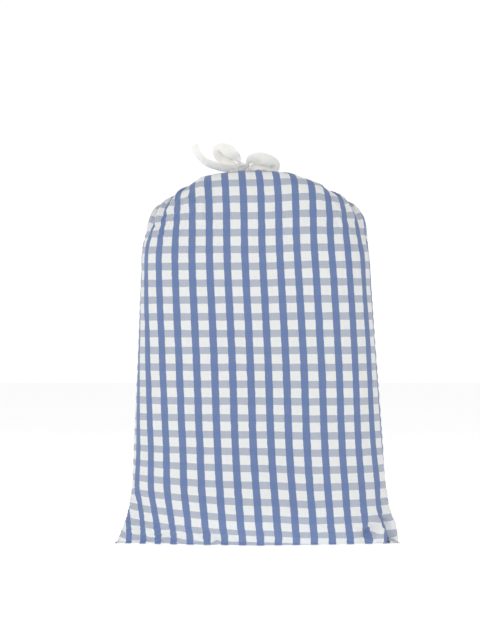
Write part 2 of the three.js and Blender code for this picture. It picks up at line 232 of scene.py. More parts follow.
# Neck and casing profile: radius from the neck's middle and height along it. The cloth
# comes up through the stitch line, round the channel, and back down inside as the hem.
NECK_PROFILE = [
    (16.0, 1.5), (14.6, 5.0), (14.2, 8.0), (15.4, 10.6), (19.0, 13.5), (21.6, 17.5),
    (22.2, 21.5), (20.6, 25.2), (17.6, 27.4), (14.6, 26.6), (12.6, 23.5), (11.8, 19.0),
    (12.2, 14.5), (13.6, 11.4),
]
STITCH_HEIGHT = 10.6


def key_rings(count, inset=0.0, with_neck=True):
    rings = [sleeve_ring(lambda a, lv=lv: ring_of(lv, a, inset), count) for lv in body_levels()]
    ridge = rings[-1]
    throat = sleeve_ring(lambda a: neck_ring(NECK_PROFILE[0][0], -inset, a), count)
    for t in np.linspace(0, 1, 12)[1:]:
        moved = lerp(ridge, throat, t)
        moved[:, 2] += CROWN * math.sin(math.pi * t)
        rings.append(moved)
    body_count = len(rings)
    if with_neck:
        for radius, height in NECK_PROFILE[1:]:
            rings.append(sleeve_ring(lambda a: neck_ring(radius, height, a), count))
    return np.array(rings), body_count


def row_positions(rings, body_count):
    """Rows at equal steps of cloth along the front's middle, through all the key rings."""
    middle = PANEL_COLUMNS // 2
    path = rings[:, middle]
    at = np.concatenate([[0], np.cumsum(np.linalg.norm(np.diff(path, axis=0), axis=1))])
    count = int(round(at[-1] / ROW_STEP))
    wanted = np.linspace(0, at[-1], count + 1)
    rows = np.empty((count + 1,) + rings.shape[1:])
    for column in range(rings.shape[1]):
        for k in range(3):
            rows[:, column, k] = np.interp(wanted, at, rings[:, column, k])
    return rows, wanted, at[body_count - 1]


def grid_normals(rows):
    """Outward normals of the closed sleeve."""
    across = np.roll(rows, -1, axis=1) - np.roll(rows, 1, axis=1)
    along = np.gradient(rows, axis=0)
    normal = np.cross(across, along)
    return normal / np.maximum(np.linalg.norm(normal, axis=2, keepdims=True), 1e-9)


def soft_noise(u, v, seed, scale):
    """Smooth repeatable unevenness, from a few crossed waves."""
    draw = np.random.default_rng(seed)
    total = np.zeros(np.broadcast(u, v).shape)
    for _ in range(9):
        turn, phase = draw.uniform(0, 2 * math.pi, 2)
        pitch = scale * draw.uniform(0.7, 1.6)
        total += np.sin((u * math.cos(turn) + v * math.sin(turn)) * 2 * math.pi / pitch + phase)
    return total / 3


# ---------------------------------------------------------------- relaxing the cloth


def pull(a, b, rest, share_a, share_b, stiffness):
    """Corrections that bring each pair of points to its rest distance."""
    gap = b - a
    length = np.maximum(np.linalg.norm(gap, axis=-1, keepdims=True), 1e-6)
    move = gap * ((length - rest) / length) * stiffness
    total = np.maximum(share_a + share_b, 1e-6)
    return move * (share_a / total), -move * (share_b / total)


class Sleeve:
    """The cloth sleeve as rows by columns of points, closed round its columns."""

    def __init__(self, points, free, row_rest):
        self.x = points
        self.free = free[..., None].astype(float)
        self.row_rest = row_rest

    def along_ring(self, reach, rest, stiffness, only_push=False):
        for first in range(2 * reach):
            a = np.arange(first, self.x.shape[1], 2 * reach)
            b = (a + reach) % self.x.shape[1]
            self._pair((slice(None), a), (slice(None), b), rest, stiffness, only_push)

    def along_rows(self, reach, stiffness, only_push=False):
        count = self.x.shape[0]
        for first in range(2 * reach):
            a = np.arange(first, count - reach, 2 * reach)
            b = a + reach
            rest = reach * (self.row_rest[a] + self.row_rest[b - 1])[..., None] / 2
            self._pair((a,), (b,), rest, stiffness, only_push)

    def diagonal(self, way, stiffness):
        count = self.x.shape[0]
        columns = np.arange(self.x.shape[1])
        for first in (0, 1):
            a = np.arange(first, count - 1, 2)
            rest = np.hypot(COLUMN_STEP, self.row_rest[a])[..., None]
            other = (columns + way) % self.x.shape[1]
            self._pair(np.ix_(a, columns), np.ix_(a + 1, other), rest, stiffness, False)

    def _pair(self, ia, ib, rest, stiffness, only_push):
        a, b = self.x[ia], self.x[ib]
        first, second = pull(a, b, rest, self.free[ia], self.free[ib], stiffness)
        if only_push:
            close = np.linalg.norm(b - a, axis=-1, keepdims=True) < rest
            first, second = first * close, second * close
        self.x[ia] = a + first
        self.x[ib] = b + second


def planes_from(tree, points):
    """For each point, the nearest place on the filling and which way is out."""
    flat = points.reshape(-1, 3)
    places = np.empty_like(flat)
    outward = np.empty_like(flat)
    for i, point in enumerate(flat):
        place, normal, _, _ = tree.find_nearest(point)
        places[i] = place
        outward[i] = normal
    return places.reshape(points.shape), outward.reshape(points.shape)


def filling_tree():
    """The outside of the filling, which holds the cloth out."""
    rings, _ = key_rings(60, inset=1.0, with_neck=False)
    rows, columns = rings.shape[:2]
    points = [tuple(p) for p in rings.reshape(-1, 3)]
    return BVHTree.FromPolygons(points, tube_faces(rows, columns))


def gathered_start(rows, at, throat_at):
    """Folds laid into the smooth form where it has less room than the cloth has width."""
    normals = grid_normals(rows)
    steps = np.linalg.norm(np.roll(rows, -1, axis=1) - rows, axis=2)
    room = steps.sum(axis=1)
    excess = np.maximum(1.0, 2 * FLAT_WIDTH / room)
    columns = rows.shape[1]
    round_it = np.arange(columns) / columns
    top_at = throat_at - GATHER_LENGTH
    share = smooth((at - top_at) / (throat_at - 8 - top_at))
    uneven = soft_noise(round_it[None, :] * 900, at[:, None], 5, 260)
    fine = np.sin(2 * math.pi * PLEATS * round_it)[None, :]
    coarse = np.sin(math.pi * PLEATS * round_it[None, :] + 0.5 * uneven)

    def height(count):
        """How high that many folds stand when they take up the excess width."""
        return room * np.sqrt(2 * (excess**2 - 1)) / (2 * math.pi * count)

    mixed = fine * (height(PLEATS) * share)[:, None]
    mixed = mixed + coarse * (height(PLEATS / 2) * (1 - share))[:, None] * 0.7
    outward = (height(PLEATS / 2) * (1 - share) * 0.6 + height(PLEATS) * share * 0.25)[:, None]
    on_neck = (at >= throat_at - 2)[:, None]
    neck_pleats = np.clip(fine * height(PLEATS)[:, None], -NECK_PLEAT_LIMIT, NECK_PLEAT_LIMIT)
    moved = np.where(on_neck, neck_pleats, mixed + outward)
    started = (at > top_at - 5)[:, None]
    moved = np.where(started, moved, 0.0)
    moved = np.clip(moved, -FOLD_LIMIT, FOLD_LIMIT)
    seeded = rows + normals * moved[..., None]
    ripple = 0.35 * soft_noise(round_it[None, :] * 804, at[:, None], 11, 70)
    return seeded + normals * np.where(on_neck, 0, ripple)[..., None]


def eased(steps, times):
    """Row steps with sudden changes along each column evened out."""
    for _ in range(times):
        padded = np.concatenate([steps[:1], steps, steps[-1:]])
        steps = 0.25 * padded[:-2] + 0.5 * steps + 0.25 * padded[2:]
    return steps


def relaxed_sleeve():
    """The gathered sleeve, settled over the filling at the cloth's own size."""
    rings, body_count = key_rings(PANEL_COLUMNS)
    rows, at, throat_at = row_positions(rings, body_count)
    start = gathered_start(rows, at, throat_at)
    row_rest = eased(np.linalg.norm(np.diff(rows, axis=0), axis=2), 6)
    free = np.ones(start.shape[:2], bool)
    free[0] = False
    free[at >= throat_at + FREE_ABOVE_THROAT] = False
    sleeve = Sleeve(start, free, row_rest)
    tree = filling_tree()
    movable = np.nonzero(at < throat_at + FREE_ABOVE_THROAT)[0]
    top = movable[-1] + 1
    seam_columns = [0, PANEL_COLUMNS]
    rounds = FULL_ROUNDS
    for _ in range(rounds):
        places, outward = planes_from(tree, sleeve.x[:top])
        for _ in range(12):
            sleeve.x[1:top, :, 2] -= 0.02
            sleeve.along_ring(1, COLUMN_STEP, 0.9)
            sleeve.along_rows(1, 0.9)
            sleeve.diagonal(1, 0.25)
            sleeve.diagonal(-1, 0.25)
            sleeve.along_ring(2, 2 * COLUMN_STEP, 0.12, only_push=True)
            sleeve.along_rows(2, 0.12, only_push=True)
            sleeve.along_ring(4, 4 * COLUMN_STEP, 0.03, only_push=True)
            depth = ((sleeve.x[:top] - places) * outward).sum(axis=2)
            short = np.maximum(0.0, STAND_OFF - depth)[..., None] * sleeve.free[:top]
            sleeve.x[:top] += outward * short * 0.7
            hold_seams(sleeve.x, top, seam_columns)
    return sleeve.x, at, throat_at


def hold_seams(x, top, seam_columns):
    """Keeps the floor, the seam plane, and each panel on its own side of it."""
    x[1:top, :, 2] = np.maximum(x[1:top, :, 2], FLOOR_GAP)
    low = x[1:top, :, 2] < 440
    for column in seam_columns:
        x[1:top, column, 1] = np.where(low[:, column], x[1:top, column, 1] * 0.2,
                                       x[1:top, column, 1])
    front = slice(1, PANEL_COLUMNS)
    back = slice(PANEL_COLUMNS + 1, 2 * PANEL_COLUMNS)
    near = x[1:top, :, 2] < 120
    y = x[1:top, front, 1]
    x[1:top, front, 1] = np.where(near[:, front], np.minimum(y, -SEAM_GAP), y)
    y = x[1:top, back, 1]
    x[1:top, back, 1] = np.where(near[:, back], np.maximum(y, SEAM_GAP), y)


# ---------------------------------------------------------------- mesh helpers


def mesh_object(name, points, faces, uvs=None):
    """points in millimetres; uvs one pair for each point."""
    data = bpy.data.meshes.new(name)
    data.from_pydata([tuple(p) for p in np.asarray(points) * MM], [], faces)
    data.validate()
    if uvs is not None:
        layer = data.uv_layers.new(name="cloth")
        corner = np.empty(len(data.loops), np.int32)
        data.loops.foreach_get("vertex_index", corner)
        layer.data.foreach_set("uv", np.asarray(uvs, np.float32)[corner].ravel())
    data.shade_smooth()
    data.update()
    made = bpy.data.objects.new(name, data)
    bpy.context.collection.objects.link(made)
    return made


def tube_faces(rows, columns, capped=False):
    """Faces between rings of points, each ring closed round its columns."""
    faces = []
    for r in range(rows - 1):
        for c in range(columns):
            d = (c + 1) % columns
            faces.append((r * columns + c, r * columns + d, (r + 1) * columns + d,
                          (r + 1) * columns + c))
    if capped:
        faces.append(tuple(range(columns - 1, -1, -1)))
        faces.append(tuple((rows - 1) * columns + c for c in range(columns)))
    return faces


def open_grid_faces(rows, columns, first=0, flip=False):
    faces = []
    for r in range(rows - 1):
        for c in range(columns - 1):
            a = first + r * columns + c
            quad = (a, a + 1, a + 1 + columns, a + columns)
            faces.append(quad[::-1] if flip else quad)
    return faces


def rim_faces(rows, columns, shift):
    """Closes the edge between a grid and its copy that starts shift points later."""
    edge = list(range(columns))
    edge += [r * columns + columns - 1 for r in range(1, rows)]
    edge += [(rows - 1) * columns + c for c in range(columns - 2, -1, -1)]
    edge += [r * columns for r in range(rows - 2, 0, -1)]
    faces = []
    for i, a in enumerate(edge):
        b = edge[(i + 1) % len(edge)]
        faces.append((a, a + shift, b + shift, b))
    return faces


def cloth_shell(name, grid, normals, uvs, thickness):
    """A closed sheet: the grid, a copy drawn in by its thickness, and the rim between."""
    rows, columns = grid.shape[:2]
    outer = grid.reshape(-1, 3)
    inner = (grid - normals * thickness).reshape(-1, 3)
    faces = open_grid_faces(rows, columns)
    faces += open_grid_faces(rows, columns, len(outer), flip=True)
    faces += rim_faces(rows, columns, len(outer))
    pair = np.concatenate([uvs.reshape(-1, 2)] * 2)
    return mesh_object(name, np.concatenate([outer, inner]), faces, pair)


# ---------------------------------------------------------------- materials


class Shader:
    """A material's nodes, wired together by short calls."""

    def __init__(self, name):
        self.material = bpy.data.materials.new(name)
        self.material.use_nodes = True
        self.nodes = self.material.node_tree.nodes
        self.links = self.material.node_tree.links
        self.surface = self.nodes["Principled BSDF"]

    def node(self, kind, inputs=None, **settings):
        made = self.nodes.new(kind)
        for key, value in settings.items():
            setattr(made, key, value)
        for key, value in (inputs or {}).items():
            self.feed(made.inputs[key], value)
        return made

    def feed(self, socket, value):
        if isinstance(value, bpy.types.NodeSocket):
            self.links.new(value, socket)
        else:
            socket.default_value = value

    def math(self, operation, *values):
        made = self.node("ShaderNodeMath", operation=operation)
        for socket, value in zip(made.inputs, values):
            self.feed(socket, value)
        return made.outputs[0]

    def mix(self, factor, a, b, blend="MIX"):
        made = self.node("ShaderNodeMix", data_type="RGBA", blend_type=blend)
        self.feed(made.inputs[0], factor)
        self.feed(made.inputs[6], a)
        self.feed(made.inputs[7], b)
        return made.outputs[2]

    def noise(self, vector, scale, detail=2.0, roughness=0.5):
        made = self.node("ShaderNodeTexNoise", {"Scale": scale, "Detail": detail,
                                                "Roughness": roughness, "Vector": vector})
        return made.outputs[0]

    def spread(self, value, low, high):
        """value, about 0 to 1, as a number from low to high."""
        return self.math("MULTIPLY_ADD", value, high - low, low)

    def combine(self, x, y, z=0.0):
        return self.node("ShaderNodeCombineXYZ", {"X": x, "Y": y, "Z": z}).outputs[0]

    def stripes(self, position, pitch, width, soft):
        """1 on the coloured bands, 0 between them."""
        phase = self.math("FRACT", self.math("DIVIDE", position, pitch))
        off = self.math("MULTIPLY", self.math("ABSOLUTE", self.math("SUBTRACT", phase, 0.5)), pitch)
        ramp = self.node("ShaderNodeMapRange", {
            "Value": off, "From Min": width / 2 + soft, "From Max": width / 2 - soft,
        }, interpolation_type="SMOOTHSTEP")
        return ramp.outputs[0]

    def bump(self, height, strength, distance, below=None):
        made = self.node("ShaderNodeBump", {"Strength": strength, "Distance": distance,
                                            "Height": height})
        if below is not None:
            self.feed(made.inputs["Normal"], below)
        return made.outputs[0]

    def finish(self, color, normal, roughness, sheen=0.0):
        self.feed(self.surface.inputs["Base Color"], color)
        self.feed(self.surface.inputs["Normal"], normal)
        self.feed(self.surface.inputs["Roughness"], roughness)
        self.surface.inputs["Sheen Weight"].default_value = sheen
        self.surface.inputs["Sheen Roughness"].default_value = 0.6
        self.surface.inputs["Specular IOR Level"].default_value = 0.2
        return self.material


def linear(red, green, blue):
    """A colour given as 0 to 255 screen values, as the shader's linear colour."""
    def one(v):
        v /= 255
        return v / 12.92 if v <= 0.04045 else ((v + 0.055) / 1.055) ** 2.4
    return (one(red), one(green), one(blue), 1.0)


CLOTH_WHITE = linear(229, 231, 230)
CLOTH_GREY = linear(176, 182, 194)
CLOTH_BLUE = linear(104, 125, 169)
BLUE_PITCH, BLUE_WIDTH = 24.9, 10.3
GREY_PITCH, GREY_WIDTH = 23.3, 10.2
THREAD_PITCH = 0.62  # one thread; the weave repeats every two


def weave(shader, x, y, pitch):
    """Over-and-under height of a plain weave whose threads run along x and y, in mm."""
    across = shader.math("SINE", shader.math("MULTIPLY", x, 2 * math.pi / pitch))
    along = shader.math("SINE", shader.math("MULTIPLY", y, 2 * math.pi / pitch))
    return shader.math("MULTIPLY", across, along)


def checked_cloth():
    """Woven check: blue warp bands, grey weft bands, on off-white."""
    s = Shader("checked_cloth")
    place = s.node("ShaderNodeUVMap", uv_map="cloth").outputs[0]
    split = s.node("ShaderNodeSeparateXYZ", {"Vector": place})
    x, y = split.outputs[0], split.outputs[1]
    wander = s.spread(s.noise(place, 0.09), -0.8, 0.8)
    lifted = s.math("ADD", y, s.spread(s.noise(place, 0.07), -0.7, 0.7))
    blue = s.stripes(s.math("ADD", x, wander), BLUE_PITCH, BLUE_WIDTH, 0.22)
    grey = s.stripes(lifted, GREY_PITCH, GREY_WIDTH, 0.28)
    warp_slub = s.noise(s.combine(s.math("MULTIPLY", x, 1.7), s.math("MULTIPLY", y, 0.03)), 1.0)
    weft_slub = s.noise(s.combine(s.math("MULTIPLY", x, 0.03), s.math("MULTIPLY", y, 1.7)), 1.0)
    ground = s.mix(grey, CLOTH_WHITE, CLOTH_GREY)
    color = s.mix(s.math("MULTIPLY", blue, 0.98), ground, CLOTH_BLUE)
    crossing = s.math("MULTIPLY", blue, grey)
    deeper = s.mix(s.math("MULTIPLY", crossing, 0.35), color, linear(103, 122, 168))
    warp_tone = s.spread(warp_slub, 0.90, 1.08)
    weft_tone = s.spread(weft_slub, 0.92, 1.06)
    tone = s.math("MULTIPLY", warp_tone, weft_tone)
    shaded = s.mix(1.0, deeper, s.combine(tone, tone, tone), "MULTIPLY")
    threads = weave(s, x, y, THREAD_PITCH * 2)
    rough = s.spread(s.noise(place, 0.5), 0.82, 0.94)
    fine = s.bump(threads, 0.18, 0.00012)
    crumple = s.bump(s.noise(place, 0.045, 3.0, 0.45), 0.30, 0.0022, fine)
    return s.finish(shaded, crumple, rough, 0.25)


def soft_cotton(name, color, shadow, thread, fluff):
    """Undyed cotton: soft tone patches, threads and fluff, placed by the object's own space."""
    s = Shader(name)
    place = s.node("ShaderNodeTexCoord").outputs["Object"]
    patches = s.noise(place, 90.0, 3.0)
    tone = s.mix(s.math("MULTIPLY", patches, 0.75), color, shadow)
    split = s.node("ShaderNodeSeparateXYZ", {"Vector": place})
    sloped = s.math("ADD", split.outputs[0], split.outputs[2])
    crossed = s.math("SUBTRACT", split.outputs[0], split.outputs[2])
    threads = weave(s, sloped, crossed, thread)
    rough = s.spread(s.noise(place, 700.0), 0.84, 0.96)
    fine = s.bump(threads, 0.35, 0.0002)
    fuzz = s.bump(s.noise(place, 650.0, 4.0, 0.7), fluff, 0.0009, fine)
    return s.finish(tone, fuzz, rough, 0.4)


def tape_cotton():
    """Herringbone tape: the slant of the threads turns over at the tape's middle."""
    s = Shader("tape_cotton")
    place = s.node("ShaderNodeUVMap", uv_map="cloth").outputs[0]
    own = s.node("ShaderNodeTexCoord").outputs["Object"]
    split = s.node("ShaderNodeSeparateXYZ", {"Vector": place})
    x, y = split.outputs[0], split.outputs[1]
    slant = s.math("ADD", y, s.math("ABSOLUTE", s.math("PINGPONG", x, 1.5)))
    ribs = s.math("SINE", s.math("MULTIPLY", slant, 2 * math.pi / 1.1))
    patches = s.noise(own, 110.0, 3.0)
    tone = s.mix(s.math("MULTIPLY", patches, 0.7), linear(255, 253, 245), linear(249, 245, 235))
    # painted shade: the tape's colour darkens in the grooves between the ribs, where the rib bump
    # sinks
    groove_painted_shade = s.mix(s.spread(ribs, 0.06, 0.0), tone, linear(232, 227, 215))
    rough = s.spread(s.noise(own, 600.0), 0.86, 0.96)
    ribbed = s.bump(ribs, 0.3, 0.00022)
    fuzz = s.bump(s.noise(own, 800.0, 4.0, 0.7), 0.35, 0.0008, ribbed)
    s.surface.inputs["Subsurface Weight"].default_value = 0.6  # light shines through thin tape
    s.surface.inputs["Subsurface Radius"].default_value = (1.0, 0.92, 0.8)
    s.surface.inputs["Subsurface Scale"].default_value = 0.004
    return s.finish(groove_painted_shade, fuzz, rough, 0.5)


def wadding_felt():
    """Soft grey-white filling, with a broken fibre texture."""
    s = Shader("wadding")
    place = s.node("ShaderNodeTexCoord").outputs["Object"]
    tone = s.mix(s.noise(place, 45.0, 5.0, 0.6), linear(228, 224, 214), linear(205, 200, 190))
    fibres = s.bump(s.noise(place, 260.0, 6.0, 0.75), 0.6, 0.002)
    return s.finish(tone, fibres, s.spread(s.noise(place, 300.0), 0.88, 0.98), 0.3)


def studio_paper():
    s = Shader("studio_paper")
    place = s.node("ShaderNodeTexCoord").outputs["Object"]
    tone = s.mix(s.noise(place, 3.0), linear(252, 252, 252), linear(249, 249, 250))
    grain = s.bump(s.noise(place, 90.0), 0.03, 0.0005)
    s.surface.inputs["Emission Color"].default_value = (1, 1, 1, 1)
    s.surface.inputs["Emission Strength"].default_value = 0.5
    return s.finish(tone, grain, 0.95)


def paint(piece, material):
    piece.data.materials.clear()
    piece.data.materials.append(material)


CLOTH = checked_cloth()
TAPE = tape_cotton()
THREAD = soft_cotton("stitch_thread", linear(240, 240, 236), linear(222, 222, 220), 0.0006, 0.2)
FILLING = wadding_felt()


# ---------------------------------------------------------------- the two panels

MIDDLE = 262.0  # half way up the sack
BLUE_START = 9.2  # where the bands start, across the cloth
GREY_START = -5.0  # and up it


def cloth_places(grid):
    """How far each point is from the left seam, and up the cloth, in mm."""
    rows, columns = grid.shape[:2]
    step = np.linalg.norm(np.diff(grid, axis=0), axis=2)
    length = np.concatenate([np.zeros((1, columns)), np.cumsum(step, axis=0)])
    middle = int(np.argmin(np.abs(grid[:, columns // 2, 2] - MIDDLE)))
    up = length - length[middle][None, :] + MIDDLE
    across = np.arange(columns)[None, :] * COLUMN_STEP + np.zeros((rows, 1))
    return across, up


def panel_uv(grid):
    """Where each point lies on the checked cloth, in mm: threads lean as the sack leans."""
    across, up = cloth_places(grid)
    side = (across - FLAT_WIDTH / 2) / (FLAT_WIDTH / 2)
    tall = (up - MIDDLE) / MIDDLE
    left, right = np.maximum(0, -side), np.maximum(0, side)
    lean = 0.042 * up + 0.018 * right * up - 5.0 * left * tall**2
    rise = 17 * left**1.6 * smooth((190 - up) / 190)
    crowd = 5.0 * right**1.5 + 24.0 * left**3 * smooth((85 - up) / 85)
    bow_out = 10.0 * left**1.3 * smooth((150 - up) / 90)
    bow_out = bow_out + 3.0 * np.exp(-(((up - 130) / 95) ** 2)) - 1.4 * smooth((30 - up) / 25)
    bow_out = bow_out - 6.5 * right**4 * np.exp(-(((up - 85) / 50) ** 2))
    stretch = 0.02 * (up - MIDDLE) * smooth(right * 2.5)
    return np.stack([across + lean - crowd + bow_out + BLUE_START,
                     up - rise - stretch + GREY_START], axis=2)


def seam_shape(grid, normals, at):
    """The seam pulls its edge in, and puckers the cloth beside it."""
    columns = grid.shape[1]
    from_edge = np.minimum(np.arange(columns), columns - 1 - np.arange(columns)) * COLUMN_STEP
    drawn = -SEAM_DEPTH * np.exp(-((from_edge / SEAM_SPREAD) ** 2))[None, :]
    along = at[:, None] + 4 * soft_noise(at[:, None], np.zeros((1, 1)), 3, 60)
    beside = np.exp(-(((from_edge - 4) / 9) ** 2))[None, :]
    pucker = np.sin(2 * math.pi * along / PUCKER_PITCH) * beside
    fade = smooth((560 - at) / 60)[:, None]
    return grid + normals * ((drawn + PUCKER_HEIGHT * pucker) * fade)[..., None]


# Soft creases on the front, each from one point to another of the cloth (mm from the left
# seam, mm up), with its depth and half width.
FRONT_CREASES = [
    ((131, 522), (127, 458), 2.6, 5.5),
    ((98, 506), (112, 476), 1.6, 5.0),
    ((215, 525), (205, 470), 1.0, 9.0),
    ((300, 520), (292, 470), 1.2, 7.0),
    ((112, 22), (143, -2), 2.6, 5.5),
    ((40, 40), (66, 4), 1.4, 7.0),
    ((10, 84), (22, 8), 2.2, 7.0),
    ((376, 36), (352, 2), -5.5, 6.0),
    ((379, 48), (384, -8), 5.5, 5.5),
    ((394, 88), (388, 20), -1.8, 6.0),
]
BACK_CREASES = [
    ((150, 470), (160, 410), 1.6, 8.0),
    ((250, 476), (238, 400), 1.4, 9.0),
    ((20, 70), (44, 6), 2.0, 7.0),
    ((384, 70), (350, 4), -2.2, 7.0),
]


def creased(grid, normals, creases):
    """Cloth lifted on one side of each crease and sunk on the other."""
    across, up = cloth_places(grid)
    lift = np.zeros(across.shape)
    for (ax, ay), (bx, by), depth, width in creases:
        run = math.hypot(bx - ax, by - ay)
        dx, dy = (bx - ax) / run, (by - ay) / run
        along = ((across - ax) * dx + (up - ay) * dy) / run
        off = ((across - ax) * dy - (up - ay) * dx) / width
        fade = smooth(along * 3) * smooth((1 - along) * 3 + 0.4) * (along > 0) * (along < 1.13)
        lift += depth * fade * off * np.exp(0.5 - off**2 / 2)
    return grid + normals * lift[..., None]


sleeve, row_at, throat_at = relaxed_sleeve()
sleeve_normals = grid_normals(sleeve)
wrapped = np.concatenate([sleeve, sleeve[:, :1]], axis=1)
wrapped_normals = np.concatenate([sleeve_normals, sleeve_normals[:, :1]], axis=1)


def panel(name, first, creases):
    """One panel, from the seam at column first to the other seam."""
    columns = slice(first, first + PANEL_COLUMNS + 1)
    normals = wrapped_normals[:, columns]
    flat = wrapped[:, columns]
    uvs = panel_uv(flat)
    grid = seam_shape(creased(flat, normals, creases), normals, row_at)
    grid[..., 2] = np.maximum(grid[..., 2], FLOOR_GAP)
    made = cloth_shell(name, grid, normals, uvs, CLOTH_THICKNESS)
    paint(made, CLOTH)
    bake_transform(made)
    return made


front = panel("front_cloth", 0, FRONT_CREASES)
back = panel("back_cloth", PANEL_COLUMNS, BACK_CREASES)
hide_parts("front_panel", "front_casing")
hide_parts("back_panel", "back_casing")


# ---------------------------------------------------------------- tape


def catmull(points, count):
    """Even steps along a smooth line through the points, and the line's length."""
    p = np.array(points, float)
    p = np.vstack([2 * p[0] - p[1], p, 2 * p[-1] - p[-2]])
    dense = []
    for i in range(1, len(p) - 2):
        for t in np.linspace(0, 1, 24, endpoint=False):
            a, b, c, d = p[i - 1:i + 3]
            dense.append(0.5 * (2 * b + (c - a) * t + (2 * a - 5 * b + 4 * c - d) * t**2
                                + (3 * b - a - 3 * c + d) * t**3))
    dense.append(p[-2])
    dense = np.array(dense)
    at = np.concatenate([[0], np.cumsum(np.linalg.norm(np.diff(dense, axis=0), axis=1))])
    wanted = np.linspace(0, at[-1], count + 1)
    line = np.stack([np.interp(wanted, at, dense[:, k]) for k in range(3)], axis=1)
    return line, at[-1]


def tape_section(width, thickness, count=20):
    """A flat tape's outline with soft, slightly thicker edges."""
    turn = np.linspace(0, 2 * math.pi, count, endpoint=False)
    x = np.sign(np.cos(turn)) * np.abs(np.cos(turn)) ** 0.45 * width / 2
    y = np.sign(np.sin(turn)) * np.abs(np.sin(turn)) ** 0.7 * thickness / 2
    return x, y


def unit(v):
    return v / np.maximum(np.linalg.norm(v, axis=-1, keepdims=True), 1e-9)


def tape(name, route, facing, seed, width=TAPE_WIDTH, thickness=2.2, crumple=1.1, curl=0.0,
         pinch=0.0):
    """A tape swept along a route in mm. facing lists the width's direction along it, and
    pinch is the share of its width that the knot takes from each end."""
    _, length = catmull(route, 1)
    steps = max(24, int(length / TAPE_STEP))
    line, length = catmull(route, steps)
    tangent = unit(np.gradient(line, axis=0))
    ends = np.linspace(0, 1, len(facing))
    t = np.linspace(0, 1, steps + 1)
    wide = np.stack([np.interp(t, ends, np.array(facing, float)[:, k]) for k in range(3)], axis=1)
    wide = unit(wide - tangent * (wide * tangent).sum(axis=1, keepdims=True))
    thick = np.cross(tangent, wide)
    sx, sy = tape_section(width, thickness)
    along = t[:, None] * length
    cup = (crumple * 0.9 * np.sin(along / 9 + seed) - curl) * ((2 * sx / width) ** 2)[None, :]
    wave = crumple * 0.7 * soft_noise(along, sx[None, :] * 1.5, seed, 11)
    lift = cup + wave
    held = np.exp(-((along / 7) ** 2)) + np.exp(-(((length - along) / 7) ** 2))
    spread = (1 - pinch * held)[..., None]
    points = (line[:, None] + wide[:, None] * sx[None, :, None] * spread
              + thick[:, None] * (sy[None, :, None] + lift[..., None]))
    faces = tube_faces(steps + 1, len(sx), capped=True)
    uvs = np.stack([np.broadcast_to(sx[None, :], points.shape[:2]),
                    np.broadcast_to(along, points.shape[:2])], axis=2)
    centres = points.mean(axis=1)
    made = mesh_object(name, points.reshape(-1, 3), faces, uvs.reshape(-1, 2))
    paint(made, TAPE)
    return made, centres, length


def bow_piece(name, body, route, facing, seed, width=TAPE_WIDTH,
              pinch=0.0):
    """A loop or a tail of the bow, as a tape on its own body."""
    places = [KNOT + np.array(p, float) for p in route]
    made, centres, _ = tape(name, places, facing, seed, width, pinch=pinch)
    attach(made, body)
    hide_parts(name.replace("_tape", ""))


# The routes are from the knot, in mm. The right tail repeats part.mjs's route. The loops and
# the left tail were fitted to the photo here, and lie beside their CAD solids.
LEFT_LOOP = [(-4, -1, 7), (-8, -6, 15), (-15, -9, 22), (-25, -9, 26.5), (-32, -4, 24),
             (-29, 3, 17), (-17, 4, 9), (-7, 3, 4)]
RIGHT_LOOP = [(7.5, 0, 6), (15, -4, 11.5), (27, -7, 13.5), (39, -7, 10.5), (46, -5, 4.5),
              (43, -1, -0.5), (34, 2, -1), (20, 2, 0), (9, 0, 1)]
LOOP_FLARE = [25, 62, 76, 78, 76, 72, 58, 25]  # degrees that a loop's tape opens to the front


def loop_facing(route):
    """The width's direction round a loop: its front edge leans out, as in a soft open bow."""
    steps = 40
    line, _ = catmull(route, steps)
    middle = line.mean(axis=0)
    along = unit(np.gradient(line, axis=0))
    out = np.cross(along, [0, 1, 0])
    out *= np.sign((out * (line - middle)).sum(axis=1).mean())
    given_at = np.linspace(0, 1, len(LOOP_FLARE))
    flare = np.radians(np.interp(np.linspace(0, 1, steps + 1), given_at, LOOP_FLARE))[:, None]
    return list(unit(np.array([0, -1.0, 0]) * np.cos(flare) + out * np.sin(flare)))


LEFT_TAIL = [(-8, -1, -1.5), (-24, -3, 0.5), (-38, -5, 3), (-50, -6, 9), (-60, -7, 19.5),
             (-67, -8, 32)]
LEFT_TAIL_FACING = [(0.1, -0.4, 1), (0.1, -0.5, 1), (0.3, -0.7, 1), (0.8, -0.8, 0.6),
                    (1, -0.7, 0.3)]
RIGHT_TAIL = [(8, -3, -8), (21, 2, -9), (33, 13, -10), (38, 30, -15), (39, 47, -24),
              (40, 64, -33), (40, 77, -43), (40, 82, -56)]
RIGHT_TAIL_FACING = [(0, 0.2, 1), (0, 0, 1), (0.6, -0.2, 0.8), (1, 0, 0.2), (1, 0, 0), (1, 0, 0)]

bow_piece("left_loop_tape", "left_loop", LEFT_LOOP, loop_facing(LEFT_LOOP), 2,
          width=LOOP_WIDTH, pinch=0.5)
bow_piece("right_loop_tape", "right_loop", RIGHT_LOOP, loop_facing(RIGHT_LOOP),
          4, width=LOOP_WIDTH, pinch=0.5)
bow_piece("left_tail_tape", "left_tail", LEFT_TAIL, LEFT_TAIL_FACING, 5)
bow_piece("right_tail_tape", "right_tail", RIGHT_TAIL, RIGHT_TAIL_FACING, 7)


# ---------------------------------------------------------------- knot and drawstring


def joined(name, parts):
    """Several pieces as one."""
    for other in bpy.context.selected_objects:
        other.select_set(False)
    for part in parts:
        part.select_set(True)
    bpy.context.view_layer.objects.active = parts[0]
    bpy.ops.object.join()
    parts[0].name = name
    return parts[0]


